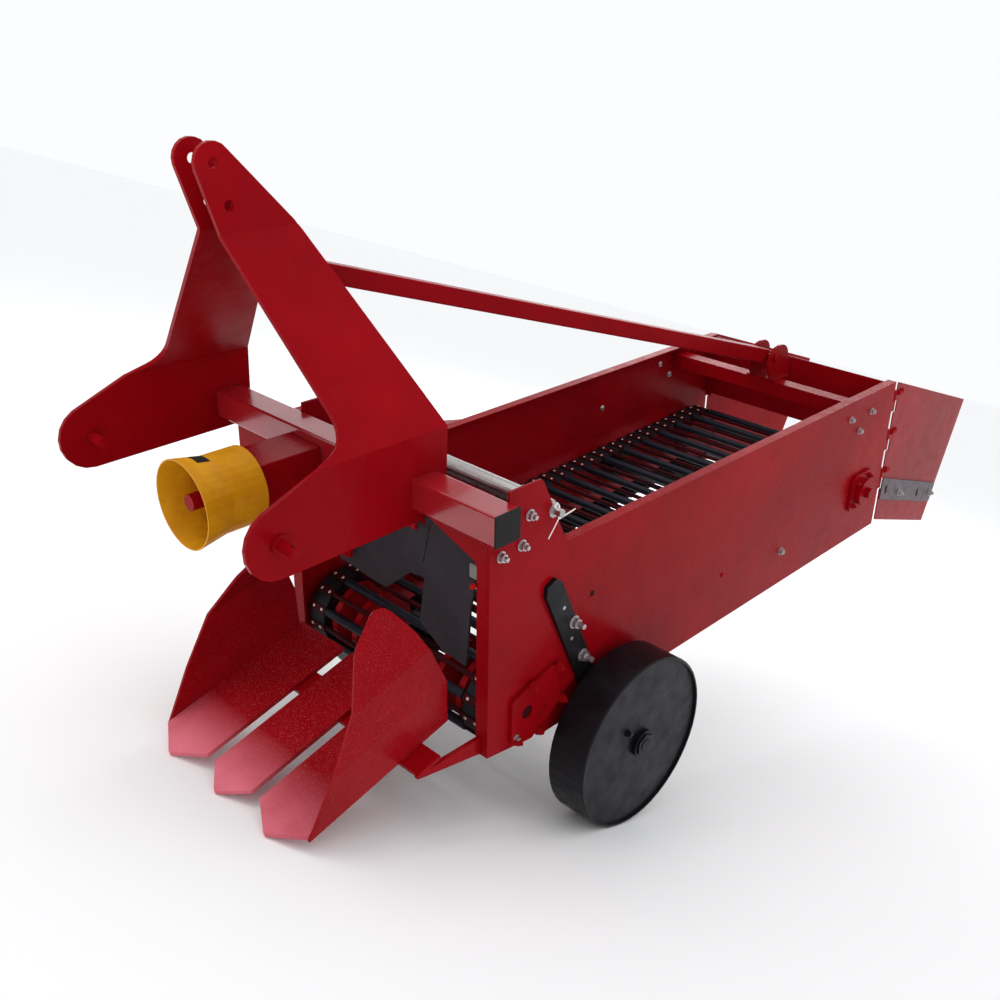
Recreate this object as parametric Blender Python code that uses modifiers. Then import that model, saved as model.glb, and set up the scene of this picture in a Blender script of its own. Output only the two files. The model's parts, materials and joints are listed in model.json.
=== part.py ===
"""Tractor-mounted single-row potato digger: three shares, a rod web in a sheet-metal box, an offset
three-point hitch and two drum wheels. Metres, +Z up, the machine travels towards -Y.

All pieces are placed in the frame of the box: X across it, Y rearwards along its side panels with 0 at
their rear edge, Z square to their top edge with 0 on it. The box frame is an empty that is tipped by
INCLINE, because the parked machine rests on its share points and its two wheels.
"""

from math import atan2, cos, hypot, pi, radians, sin

import bmesh
import bpy
from mathutils import Matrix, Vector

# ---------------------------------------------------------------- driving dimensions
INCLINE = radians(19.5)          # slope of the box when parked, front low
SEAT = 0.0003                    # gap between neighbouring pieces

BOX_WIDTH = 0.620                # over the side panels
PANEL = 0.004                    # side sheet thickness
PANEL_HEIGHT = 0.440
PANEL_LENGTH = 1.440
PANEL_LIP = 0.025                # inward fold along the top edge

FRONT_PLATE = 0.006
PLATE_TOP = 0.166
PLATE_REAR = -1.386
PORTAL = 0.005
PORTAL_LEG = 0.027
PORTAL_FOOT = -0.409
PORTAL_CORNERS = (               # crown's depth, then the corner's width and depth: left, right
    (0.009, 0.135, 0.048),
    (0.052, 0.110, 0.110),
)
PORTAL_Y = -1.600

BEAM = 0.064                     # square tube
BEAM_WALL = 0.006
BEAM_Y = -1.585
BEAM_Z = 0.115
BEAM_LEFT = 0.341                # x of the beam's left end
BEAM_RIGHT = -0.590
PLUG = 0.004

HITCH_X = -0.2195                # centre plane of the three-point hitch
LINK_HALF = 0.3400               # half of 680 mm over the lower link shoulders
MAST_HALF = 0.0385
HITCH_PLATE = 0.010
FOLD_LOW = 0.232
FOLD_HIGH = 0.584
LINK_PIN_Y = -1.922
LINK_PIN_Z = 0.120
LINK_EYE = 0.070                 # radius of the plate round the lower pin
LINK_PIN_D = 0.022
LINK_PIN_OUT = 0.050
TOP_HOLE_D = 0.020
TOP_HOLES = ((-1.799, 0.711), (-1.774, 0.634))

BRACE = 0.040                    # square tube of the long stay
BRACE_FRONT = (HITCH_X, -1.640, 0.500)
BRACE_REAR = (0.0, -0.190, 0.044)
BRACE_WALL = 0.004
BRACE_BOLT_D = 0.016
EAR_GAP = 0.027                  # from the bracket's middle to each ear
EAR = 0.006

CROSS_Y = -0.200                 # rear cross member, an angle
CROSS_LEG = 0.040
CROSS_WALL = 0.004
CROSS_Z = -0.022
TAIL_Y = -0.012                  # cross sheet at the rear of the box
TAIL_HEIGHT = 0.185
TAIL_SHEET = 0.003

GEARBOX = (0.110, 0.150, 0.110)
GEARBOX_Z = 0.072
MOUNT_PLATE = 0.008
MOUNT_LEFT = 0.130               # from the hitch's centre plane
MOUNT_BOTTOM = -0.110
GEAR_NECK = (0.120, 0.180)       # part of the gearbox behind its plate, width and height
GEAR_NECK_BACK = -1.470
CROSS_DRIVE = (-1.515, 0.012)    # y, z of the cross shaft
CROSS_DRIVE_R = 0.030
PTO_D = 0.035
PTO_LENGTH = 0.130
GUARD_REAR_R = 0.082
GUARD_FRONT_R = 0.094
GUARD_LENGTH = 0.146
GUARD_WALL = 0.003
CHAIN_X = -0.330                 # inner face of the chain case
CHAIN_CASE = 0.060
CHAIN_CASE_R = 0.055
CASE_WALL = 0.003                # the case is open underneath
COVER_WIDTH = 0.165              # wide front part of the case, over the first sprocket
COVER_LOW = -0.105
COVER_BACK = -1.400

CURTAIN_TUBE_D = 0.038
CURTAIN_TUBE_Y = -1.429
CURTAIN_TUBE_Z = 0.089
CURTAIN_PIN_D = 0.016
RUBBER = 0.005
CURTAIN_FALL = ((0.080, 0.0), (-0.030, 0.0), (-0.120, 0.008), (-0.250, 0.020))  # z, distance back
CURTAIN_OUTLINE = (              # x, z of the sheet with its long and its short tail
    (-0.155, 0.045), (-0.155, -0.140), (-0.060, -0.150), (-0.005, -0.152), (0.080, -0.080), (0.125, -0.072),
    (0.097, -0.192), (0.160, -0.235), (0.227, -0.242), (0.235, -0.210), (0.255, -0.090), (0.279, -0.006),
    (0.279, 0.026), (0.150, 0.078), (0.1355, 0.078), (0.1355, 0.045),
)

SHARE_TIP_Y = -2.036
SHARE_TIP_Z = -0.426
SHARE_REAR_Y = -1.640
SHARE_REAR_Z = -0.318
SHARE = 0.010
SHARE_X = 0.166                  # centre of an outer share
CENTRE_SHARE_WIDTH = 0.126
SHARE_POINT = 0.046              # length of the pointed end
WING = 0.006
WING_SECTION = ((0.0, 0.247), (0.085, 0.251), (0.175, 0.242), (0.340, 0.135))
WING_OUTLINE = (                 # along the share and square to it, with each corner's radius
    (0.045, -SHARE, 0.0),
    (0.402, -SHARE, 0.0),
    (0.424, 0.088, 0.010),
    (0.408, 0.215, 0.030),
    (0.380, 0.293, 0.030),
    (0.285, 0.250, 0.060),
)
CARRIER = 0.010
CARRIER_DEPTH = 0.060
CARRIER_Y = -1.745
ARM_X = 0.294
ARM_HIGH = -0.366                # z of the arm's end at the front plate
ARM_LOW = -0.405

FRONT_AXIS = (-1.495, -0.345)    # y, z of the front web roller
REAR_AXIS = (-0.125, -0.290)
FRONT_BELT_R = 0.095             # outside of the belt on its roller
REAR_BELT_R = 0.085
BELT = 0.010
BELT_WIDTH = 0.050
ROD_D = 0.018                    # rod in its rubber sleeve
BARE_ROD_D = 0.011               # every second rod has no sleeve
ROD_PITCH = 0.0425
WEB_WIDTH = 0.580
ROLLER_GAP = 0.0003
SHAFT_D = 0.030
SUPPORT_R = 0.035
SUPPORTS = ((-1.060, 0.0), (-0.520, 0.0))
BEARING = 0.110
BEARING_DEPTH = 0.026

WHEEL_R = 0.203
WHEEL_WIDTH = 0.096
WHEEL_INNER_X = 0.338
WHEEL_Y = -1.237
RIM = 0.007
DISC = 0.006
DISC_INSET = 0.006
HUB_R = 0.032
AXLE_D = 0.030
AXLE_FIT = 0.0006
ARM = 0.010
ARM_WIDTH = 0.050
ARM_TOP = (-1.428, -0.085)

FLAP = 0.003
FLAP_IN = radians(3.0)           # inward set of the rear flaps
FLAP_GAP = 0.006                 # behind the panel's rear edge
FLAP_OUTLINE = ((0.0, -0.004), (0.577, -0.210), (0.401, -0.581), (0.0, -0.432))
KNUCKLE_D = 0.016
KNUCKLE = 0.030
HINGE_CLEAR = 0.005              # round the panel's eyes, cut out of the flap
KNUCKLES = (-0.045, -0.163, -0.283)
LEAF_INSET = 0.0005              # of a hinge leaf from the panel's faces
LEAF_WIDTH = 0.020
BAR = 0.004
BAR_OUTLINE = ((0.003, -0.298), (0.446, -0.460), (0.420, -0.518), (0.003, -0.366))

HALF = BOX_WIDTH / 2
INSIDE = HALF - PANEL
HINGE_X = HALF - KNUCKLE_D / 2
HINGE_Y = FLAP_GAP + KNUCKLE_D / 2

# ---------------------------------------------------------------- scene and materials
for old in list(bpy.data.objects):
    bpy.data.objects.remove(old, do_unlink=True)
PARTS = bpy.data.collections.new("potato_digger")
CUTTERS = bpy.data.collections.new("cutters")
bpy.context.scene.collection.children.link(PARTS)
bpy.context.scene.collection.children.link(CUTTERS)
CUTTERS.hide_render = True


def material(name, colour, roughness, metallic=0.0):
    made = bpy.data.materials.new(name)
    made.use_nodes = True
    shader = made.node_tree.nodes["Principled BSDF"]
    shader.inputs["Base Color"].default_value = (*colour, 1.0)
    shader.inputs["Roughness"].default_value = roughness
    shader.inputs["Metallic"].default_value = metallic
    return made


RED = material("red_paint", (0.45, 0.006, 0.010), 0.25)
BLACK = material("black_paint", (0.012, 0.012, 0.014), 0.35)
ZINC = material("zinc_plate", (0.55, 0.54, 0.52), 0.40, 1.0)
STEEL = material("bare_steel", (0.55, 0.54, 0.52), 0.25, 1.0)
WEB_RUBBER = material("web_rubber", (0.020, 0.022, 0.035), 0.55)
CURTAIN_RUBBER = material("curtain_rubber", (0.045, 0.040, 0.048), 0.65)
YELLOW = material("guard_plastic", (0.80, 0.42, 0.02), 0.40)
PLASTIC = material("plug_plastic", (0.010, 0.010, 0.012), 0.50)

ROOT = bpy.data.objects.new("digger_frame", None)
ROOT.rotation_euler = (INCLINE, 0.0, 0.0)
PARTS.objects.link(ROOT)


# ---------------------------------------------------------------- shapes
def add(name, mesh, finish, parent=ROOT):
    """An object of the machine, in the axes of its parent."""
    mesh.materials.clear()
    mesh.materials.append(finish)
    made = bpy.data.objects.new(name, mesh)
    PARTS.objects.link(made)
    made.parent = parent
    return made


def axis_empty(name, place, turn=(0.0, 0.0, 0.0)):
    """An empty on a joint's axis, which carries the moving piece."""
    made = bpy.data.objects.new(name, None)
    made.location = place
    made.rotation_euler = turn
    made.parent = ROOT
    PARTS.objects.link(made)
    return made


def mesh_of(bm, name="shape"):
    mesh = bpy.data.meshes.new(name)
    bm.to_mesh(mesh)
    bm.free()
    return mesh


def box(low, high):
    """Mesh of the box between two corners."""
    bm = bmesh.new()
    bmesh.ops.create_cube(bm, size=1.0)
    size = Vector(high) - Vector(low)
    middle = (Vector(high) + Vector(low)) / 2
    bmesh.ops.scale(bm, vec=size, verts=bm.verts)
    bmesh.ops.translate(bm, vec=middle, verts=bm.verts)
    return mesh_of(bm)


AXES = {
    "X": Matrix.Rotation(pi / 2, 4, "Y"),
    "Y": Matrix.Rotation(-pi / 2, 4, "X"),
    "Z": Matrix.Identity(4),
}


def rod(radius, start, length, axis="X", sides=16):
    """Mesh of a cylinder that runs from start along +axis."""
    bm = bmesh.new()
    bmesh.ops.create_cone(
        bm, cap_ends=True, segments=sides, radius1=radius, radius2=radius, depth=length
    )
    bmesh.ops.translate(bm, vec=(0.0, 0.0, length / 2), verts=bm.verts)
    bmesh.ops.transform(bm, matrix=AXES[axis], verts=bm.verts)
    bmesh.ops.translate(bm, vec=start, verts=bm.verts)
    return mesh_of(bm)


def rounded(points, steps=5):
    """Outline through (u, v, radius) points, each corner with its radius as an arc."""
    out = []
    count = len(points)
    for i, (u, v, radius) in enumerate(points):
        if not radius:
            out.append((u, v))
            continue
        here = Vector((u, v))
        before = (Vector(points[i - 1][:2]) - here).normalized()
        after = (Vector(points[(i + 1) % count][:2]) - here).normalized()
        half = before.angle(after) / 2
        middle = here + (before + after).normalized() * radius / sin(half)
        first = here + before * radius / (sin(half) / cos(half)) - middle
        last = here + after * radius / (sin(half) / cos(half)) - middle
        sweep = first.angle_signed(last)
        for k in range(steps + 1):
            turned = first.copy()
            turned.rotate(Matrix.Rotation(-sweep * k / steps, 2))
            out.append(tuple(middle + turned))
    return out


def circle(middle, radius, sides=16):
    return [
        (middle[0] + radius * cos(2 * pi * k / sides), middle[1] + radius * sin(2 * pi * k / sides))
        for k in range(sides)
    ]


def square(low, high):
    return [(low[0], low[1]), (high[0], low[1]), (high[0], high[1]), (low[0], high[1])]


PLANES = {
    "YZ": Matrix(((0, 0, 1, 0), (1, 0, 0, 0), (0, 1, 0, 0), (0, 0, 0, 1))),
    "XZ": Matrix(((1, 0, 0, 0), (0, 0, -1, 0), (0, 1, 0, 0), (0, 0, 0, 1))),
    "XY": Matrix.Identity(4),
}


def evaluated_mesh(guide):
    """The guide's own mesh after its modifiers; the guide is removed."""
    graph = bpy.context.evaluated_depsgraph_get()
    mesh = bpy.data.meshes.new_from_object(guide.evaluated_get(graph))
    bpy.data.objects.remove(guide, do_unlink=True)
    return mesh


def outline_mesh(outlines, plane, near, far):
    """Mesh of a flat outline with its holes, between two coordinates along the plane's normal."""
    curve = bpy.data.curves.new("outline", "CURVE")
    curve.dimensions = "2D"
    curve.fill_mode = "BOTH"
    curve.extrude = abs(far - near) / 2
    for points in outlines:
        spline = curve.splines.new("POLY")
        spline.points.add(len(points) - 1)
        for point, place in zip(spline.points, points):
            point.co = (place[0], place[1], 0.0, 1.0)
        spline.use_cyclic_u = True
    guide = bpy.data.objects.new("outline", curve)
    bpy.context.scene.collection.objects.link(guide)
    mesh = evaluated_mesh(guide)
    bm = bmesh.new()
    bm.from_mesh(mesh)
    bmesh.ops.remove_doubles(bm, verts=bm.verts, dist=0.00001)
    normal = PLANES[plane].col[2].xyz
    bmesh.ops.transform(bm, matrix=PLANES[plane], verts=bm.verts)
    bmesh.ops.translate(bm, vec=normal * ((near + far) / 2), verts=bm.verts)
    bmesh.ops.recalc_face_normals(bm, faces=bm.faces)
    bm.to_mesh(mesh)
    bm.free()
    return mesh


def joined(meshes):
    """One mesh of several, as loose bodies."""
    bm = bmesh.new()
    for mesh in meshes:
        bm.from_mesh(mesh)
    return mesh_of(bm)


def boolean(target, mesh, operation):
    """Boolean modifier on target with a helper object of this mesh."""
    helper = bpy.data.objects.new(target.name + "_" + operation.lower(), mesh)
    CUTTERS.objects.link(helper)
    helper.parent = target.parent
    helper.hide_render = True
    helper.display_type = "WIRE"
    made = target.modifiers.new(operation.lower(), "BOOLEAN")
    made.operation = operation
    made.object = helper
    made.solver = "EXACT"
    return made


def bevel(target, width, segments=2, angle=radians(40)):
    made = target.modifiers.new("bevel", "BEVEL")
    made.width = width
    made.segments = segments
    made.limit_method = "ANGLE"
    made.angle_limit = angle


def turned_mesh(profile, steps, axis="X"):
    """Mesh of a closed (radius, height) profile turned round an axis; the outer side runs down."""
    mesh = bpy.data.meshes.new("profile")
    count = len(profile)
    edges = [(i, (i + 1) % count) for i in range(count)]
    mesh.from_pydata([(r, 0.0, h) for r, h in profile], edges, [])
    guide = bpy.data.objects.new("profile", mesh)
    bpy.context.scene.collection.objects.link(guide)
    screw = guide.modifiers.new("screw", "SCREW")
    screw.steps = steps
    screw.render_steps = steps
    screw.use_merge_vertices = True
    screw.merge_threshold = 0.0001
    turned = evaluated_mesh(guide)
    turned.transform(AXES[axis])
    return turned


def moved(mesh, vector):
    mesh.transform(Matrix.Translation(vector))
    return mesh


def mirrored(mesh):
    """The mesh mirrored through the machine's centre plane, with its faces turned back."""
    copy = mesh.copy()
    copy.transform(Matrix.Scale(-1.0, 4, (1.0, 0.0, 0.0)))
    copy.flip_normals()
    return copy


def interpolate(table, value):
    """Piecewise linear reading of (key, value) pairs."""
    for (k0, v0), (k1, v1) in zip(table, table[1:]):
        if value <= k1:
            return v0 + (v1 - v0) * (value - k0) / (k1 - k0)
    return table[-1][1]


SIDES = (("left", 1.0), ("right", -1.0))


def on_side(mesh, side):
    return mesh if side > 0 else mirrored(mesh)


# ---------------------------------------------------------------- box
def side_panels():
    outline = square((-PANEL_LENGTH, -PANEL_HEIGHT), (0.0, 0.0))
    lip_start = PLATE_REAR + SEAT
    for name, side in SIDES:
        sheet = outline_mesh(
            [outline, circle(REAR_AXIS, SHAFT_D / 2 + 0.002)], "YZ", INSIDE, HALF
        )
        panel = add("side_panel_" + name, on_side(sheet, side), RED)
        lip = box((HALF - PANEL_LIP, lip_start, -PANEL), (HALF - PANEL / 2, 0.0, 0.0))
        additions = [lip]
        for z in KNUCKLES:
            low = z - KNUCKLE * 1.5 - SEAT
            additions.append(rod(KNUCKLE_D / 2, (HINGE_X, HINGE_Y, low), KNUCKLE, "Z", 12))
        boolean(panel, on_side(joined(additions), side), "UNION")
        leaves = []
        for z in KNUCKLES:
            low = (INSIDE + LEAF_INSET, -LEAF_WIDTH, z - KNUCKLE * 1.5)
            leaves.append(box(low, (HALF - LEAF_INSET, HINGE_Y, z - KNUCKLE / 2 - 2 * SEAT)))
        boolean(panel, on_side(joined(leaves), side), "UNION")


def front_plate_outline():
    beam_low = BEAM_Z - BEAM / 2 - SEAT
    beam_back = BEAM_Y + BEAM / 2 + SEAT
    return rounded([
        (PORTAL_Y - PORTAL / 2, -0.409, 0.0),
        (-1.482, -0.425, 0.02),
        (-1.310, -0.320, 0.03),
        (PLATE_REAR, 0.007, 0.0),
        (-1.464, PLATE_TOP, 0.012),
        (beam_back, PLATE_TOP, 0.0),
        (beam_back, beam_low, 0.0),
        (PORTAL_Y - PORTAL / 2, beam_low, 0.0),
    ])


def front_plates():
    inner = HALF + SEAT
    for name, side in SIDES:
        holes = [
            circle(FRONT_AXIS, SHAFT_D / 2 + 0.002),
            circle((CURTAIN_TUBE_Y, CURTAIN_TUBE_Z), CURTAIN_PIN_D / 2 + SEAT),
        ]
        if side < 0:
            holes.append(circle(CROSS_DRIVE, CROSS_DRIVE_R + SEAT, 20))
        sheet = outline_mesh([front_plate_outline(), *holes], "YZ", inner, inner + FRONT_PLATE)
        add("front_plate_" + name, on_side(sheet, side), RED)


def front_portal():
    """A sheet on each side under the beam, leg and slanted corner in one, up to the left hitch plate."""
    top = BEAM_Z - BEAM / 2 - SEAT
    leg = HALF - PORTAL_LEG
    plate = HITCH_X + LINK_HALF
    ends = (plate + SEAT, -(plate - HITCH_PLATE - SEAT))
    for (name, side), end, corner in zip(SIDES, ends, PORTAL_CORNERS):
        crown_depth, width, depth = corner
        crown = top - crown_depth
        outline = rounded([
            (HALF, PORTAL_FOOT, 0.0),
            (HALF, top, 0.0),
            (end, top, 0.0),
            (end, crown, 0.0),
            (leg - width, crown, 0.01),
            (leg, crown - depth, 0.02),
            (leg, PORTAL_FOOT, 0.0),
        ], 4)
        sheet = outline_mesh([outline], "XZ", -PORTAL_Y - PORTAL / 2, -PORTAL_Y + PORTAL / 2)
        portal = add("front_portal_" + name, on_side(sheet, side), RED)
        if side < 0:
            boolean(portal, neck_opening(), "DIFFERENCE")


def neck_opening():
    """Opening for the gearbox's neck through the sheets in front of the box."""
    half = GEAR_NECK[0] / 2 + SEAT
    low = BEAM_Z - BEAM / 2 - 0.008 - GEAR_NECK[1] - SEAT
    high = BEAM_Z - BEAM / 2 - 0.008 + SEAT
    return box((HITCH_X - half, PORTAL_Y - 0.03, low), (HITCH_X + half, PORTAL_Y + 0.03, high))


def beam():
    outer = BEAM / 2
    core = outer - BEAM_WALL
    section = [
        rounded([(y, z, 0.004) for y, z in square(
            (BEAM_Y - outer, BEAM_Z - outer), (BEAM_Y + outer, BEAM_Z + outer))], 2),
        square((BEAM_Y - core, BEAM_Z - core), (BEAM_Y + core, BEAM_Z + core)),
    ]
    add("front_beam", outline_mesh(section, "YZ", BEAM_RIGHT, BEAM_LEFT), RED)
    face = square((BEAM_Y - outer, BEAM_Z - outer), (BEAM_Y + outer, BEAM_Z + outer))
    for name, end, side in (("left", BEAM_LEFT, 1.0), ("right", BEAM_RIGHT, -1.0)):
        near = end + side * SEAT
        cap = outline_mesh([face], "YZ", min(near, near + side * PLUG), max(near, near + side * PLUG))
        add("beam_plug_" + name, cap, PLASTIC)


# ---------------------------------------------------------------- hitch
def mast_x(z):
    """Outer face of a hitch plate from the hitch's centre plane, by height."""
    return interpolate(
        ((-1.0, LINK_HALF), (FOLD_LOW, LINK_HALF), (FOLD_HIGH, MAST_HALF), (2.0, MAST_HALF)), z
    )


def hitch_outline():
    eye = LINK_EYE
    pin_y = LINK_PIN_Y
    pin_z = LINK_PIN_Z
    arm_top = radians(116)
    arc = [
        (pin_y + eye * cos(a), pin_z + eye * sin(a))
        for a in [arm_top + (radians(270) - arm_top) * k / 8 for k in range(9)]
    ]
    head = TOP_HOLES[0]
    head_r = 0.037
    crown = [
        (head[0] + head_r * cos(a), head[1] + head_r * sin(a))
        for a in [radians(35) + radians(160) * k / 8 for k in range(9)]
    ]
    lower = rounded([
        (pin_y, pin_z - eye, 0.0),
        (-1.530, 0.055, 0.045),
        (-1.524, FOLD_LOW, 0.03),
        (-1.628, FOLD_HIGH, 0.05),
        (*crown[0], 0.0),
    ])
    front = rounded([
        (head[0] - head_r, head[1], 0.0),
        (-1.797, FOLD_HIGH, 0.03),
        (-1.749, 0.264, 0.045),
        (arc[0][0], arc[0][1], 0.0),
    ])
    return lower[1:-1] + crown + front[1:] + arc[1:]


def hitch_plate_mesh():
    """Flat outline cut along its two fold lines and bent in x, then given its thickness."""
    curve_mesh = outline_mesh([hitch_outline()], "YZ", 0.0, 0.0)
    bm = bmesh.new()
    bm.from_mesh(curve_mesh)
    bmesh.ops.remove_doubles(bm, verts=bm.verts, dist=0.00001)
    for height in (FOLD_LOW, FOLD_HIGH):
        everything = bm.verts[:] + bm.edges[:] + bm.faces[:]
        bmesh.ops.bisect_plane(bm, geom=everything, plane_co=(0, 0, height), plane_no=(0, 0, 1))
    for vert in bm.verts:
        vert.co.x = mast_x(vert.co.z)
    bmesh.ops.recalc_face_normals(bm, faces=bm.faces)
    if sum(face.normal.x for face in bm.faces) < 0:
        bmesh.ops.reverse_faces(bm, faces=bm.faces)
    return mesh_of(bm)


def hitch_plates():
    for name, side in SIDES:
        plate = add("hitch_plate_" + name, hitch_plate_mesh(), RED)
        plate.location.x = HITCH_X
        if side < 0:
            plate.data.transform(Matrix.Scale(-1.0, 4, (1.0, 0.0, 0.0)))
            plate.data.flip_normals()
        solid = plate.modifiers.new("thickness", "SOLIDIFY")
        solid.thickness = HITCH_PLATE
        solid.offset = -1.0
        reach = side * LINK_HALF
        half = BEAM / 2 + SEAT
        low = (reach - 0.05, BEAM_Y - half, BEAM_Z - half)
        high = (reach + 0.05, BEAM_Y + half, BEAM_Z + half)
        cuts = [box(low, high)]
        for y, z in TOP_HOLES:
            cuts.append(rod(TOP_HOLE_D / 2, (side * MAST_HALF - 0.03, y, z), 0.06))
        pin_r = LINK_PIN_D / 2 + SEAT
        cuts.append(rod(pin_r, (reach - 0.05, LINK_PIN_Y, LINK_PIN_Z), 0.10))
        cut = boolean(plate, joined(cuts), "DIFFERENCE")
        cut.object.location.x = HITCH_X


def link_pins():
    """Lower link pins with a collar on each side of the plate."""
    for name, side in SIDES:
        outer = LINK_HALF
        pin_r = LINK_PIN_D / 2
        length = HITCH_PLATE + 2 * LINK_PIN_OUT
        start = (outer - HITCH_PLATE - LINK_PIN_OUT, LINK_PIN_Y, LINK_PIN_Z)
        pin = add("lower_hitch_pin_" + name, on_side(rod(pin_r, start, length, sides=20), side), RED)
        pin.location.x = HITCH_X
        collar = rod(pin_r + 0.008, (outer + SEAT, LINK_PIN_Y, LINK_PIN_Z), 0.006, sides=20)
        boolean(pin, on_side(collar, side), "UNION").object.location.x = HITCH_X


def hitch_tie():
    """Flat bar between the slanting parts of the hitch plates; the long stay ends on it."""
    slope = hypot(FOLD_HIGH - FOLD_LOW, LINK_HALF - MAST_HALF) / (FOLD_HIGH - FOLD_LOW)
    low = (-1.0, BRACE_FRONT[1] - 0.010, BRACE_FRONT[2] - 0.035)
    high = (1.0, BRACE_FRONT[1], BRACE_FRONT[2] + 0.035)
    mesh = box(low, high)
    for vert in mesh.vertices:
        inner = mast_x(vert.co.z) - HITCH_PLATE * slope - SEAT * 2
        vert.co.x = HITCH_X + (inner if vert.co.x > 0 else -inner)
    add("hitch_tie", mesh, RED)


def brace():
    """Square-tube stay from the hitch tie back to the bracket on the rear cross member."""
    start = Vector(BRACE_FRONT) + Vector((0.0, SEAT + 0.001, 0.0))
    end = Vector(BRACE_REAR)
    along = (end - start).normalized()
    across = along.cross(Vector((0, 0, 1))).normalized()
    up = across.cross(along)
    outer = BRACE / 2
    core = outer - BRACE_WALL
    section = [
        rounded([(u, v, 0.003) for u, v in square((-outer, -outer), (outer, outer))], 2),
        square((-core, -core), (core, core)),
    ]
    setback = outer * (abs(along.x) + abs(along.z)) / along.y
    end_gap = BRACE_BOLT_D / 2 + outer * abs(along.x) / along.y + SEAT
    mesh = outline_mesh(section, "XY", setback, (end - start).length - end_gap)
    turn = Matrix((across, up, along)).transposed().to_4x4()
    mesh.transform(Matrix.Translation(start) @ turn)
    if turn.determinant() < 0:
        mesh.flip_normals()
    add("brace_tube", mesh, RED)


def brace_bracket():
    """Two half-round ears on a foot; the stay's end lies between them."""
    top = CROSS_Z + SEAT
    foot = box((-0.045, CROSS_Y, top), (0.045, CROSS_Y + 0.070, top + 0.005))
    bracket = add("brace_bracket", foot, RED)
    ear = rounded([
        (CROSS_Y - 0.002, top, 0.0),
        (CROSS_Y + 0.090, top, 0.0),
        (CROSS_Y + 0.075, 0.074, 0.040),
        (CROSS_Y - 0.045, 0.080, 0.045),
    ])
    left = outline_mesh([ear], "YZ", EAR_GAP, EAR_GAP + EAR)
    boolean(bracket, joined([left, mirrored(left)]), "UNION")
    reach = EAR_GAP + EAR + 0.006
    boolean(bracket, rod(BRACE_BOLT_D / 2, (-reach, *BRACE_REAR[1:]), 2 * reach), "UNION")


def rear_cross():
    width = INSIDE - SEAT
    angle = [
        (CROSS_Y, CROSS_Z),
        (CROSS_Y, CROSS_Z - CROSS_LEG),
        (CROSS_Y + CROSS_WALL, CROSS_Z - CROSS_LEG),
        (CROSS_Y + CROSS_WALL, CROSS_Z - CROSS_WALL),
        (CROSS_Y + CROSS_LEG, CROSS_Z - CROSS_WALL),
        (CROSS_Y + CROSS_LEG, CROSS_Z),
    ]
    add("rear_cross_member", outline_mesh([angle], "YZ", -width, width), RED)
    top = -PANEL - SEAT
    sheet = box((-width, TAIL_Y, top - TAIL_HEIGHT), (width, TAIL_Y + TAIL_SHEET, top))
    add("rear_cross_sheet", sheet, RED)


# ---------------------------------------------------------------- drive
MOUNT_FRONT = PORTAL_Y - PORTAL / 2 - SEAT - MOUNT_PLATE
GEAR_FRONT = BEAM_Y - BEAM / 2 - SEAT - GEARBOX[1]


def gearbox_mount():
    """Sheet under the beam in front of the portal; the gearbox's neck passes through it."""
    top = BEAM_Z - BEAM / 2 - SEAT
    left = HITCH_X + MOUNT_LEFT
    outline = rounded([
        (-HALF, MOUNT_BOTTOM, 0.01),
        (left, MOUNT_BOTTOM, 0.01),
        (left, top, 0.0),
        (-HALF, top, 0.0),
    ], 3)
    sheet = outline_mesh([outline], "XZ", -MOUNT_FRONT - MOUNT_PLATE, -MOUNT_FRONT)
    boolean(add("gearbox_mount_plate", sheet, RED), neck_opening(), "DIFFERENCE")


def gearbox():
    """One block: the case in front of the beam and its neck under it."""
    half_x = GEARBOX[0] / 2
    half_z = GEARBOX[2] / 2
    low = (HITCH_X - half_x, GEAR_FRONT, GEARBOX_Z - half_z)
    high = (HITCH_X + half_x, GEAR_FRONT + GEARBOX[1], GEARBOX_Z + half_z)
    case = add("gearbox", box(low, high), RED)
    top = BEAM_Z - BEAM / 2 - 0.008
    neck_low = (HITCH_X - GEAR_NECK[0] / 2, GEAR_FRONT + GEARBOX[1] / 2, top - GEAR_NECK[1])
    neck_high = (HITCH_X + GEAR_NECK[0] / 2, GEAR_NECK_BACK, top)
    boolean(case, box(neck_low, neck_high), "UNION")
    bevel(case, 0.006)


def pto():
    shaft_axis = axis_empty("pto_axis", (HITCH_X, GEAR_FRONT, GEARBOX_Z))
    shaft = rod(PTO_D / 2, (0.0, -SEAT - PTO_LENGTH, 0.0), PTO_LENGTH, "Y", 16)
    add("pto_shaft", shaft, RED, shaft_axis)
    bore = PTO_D / 2 + 0.006
    back = SEAT
    wall = GUARD_WALL
    profile = [
        (GUARD_FRONT_R, GUARD_LENGTH),
        (GUARD_REAR_R, GUARD_LENGTH * 0.55),
        (GUARD_REAR_R, back),
        (bore, back),
        (bore, back + wall),
        (GUARD_REAR_R - wall, back + wall),
        (GUARD_REAR_R - wall, GUARD_LENGTH * 0.55),
        (GUARD_FRONT_R - wall, GUARD_LENGTH),
    ]
    shell = turned_mesh(profile, 32, "Z")
    shell.transform(Matrix.Rotation(pi / 2, 4, "X"))
    add("pto_guard", moved(shell, (HITCH_X, GEAR_FRONT, GEARBOX_Z)), YELLOW)


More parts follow.
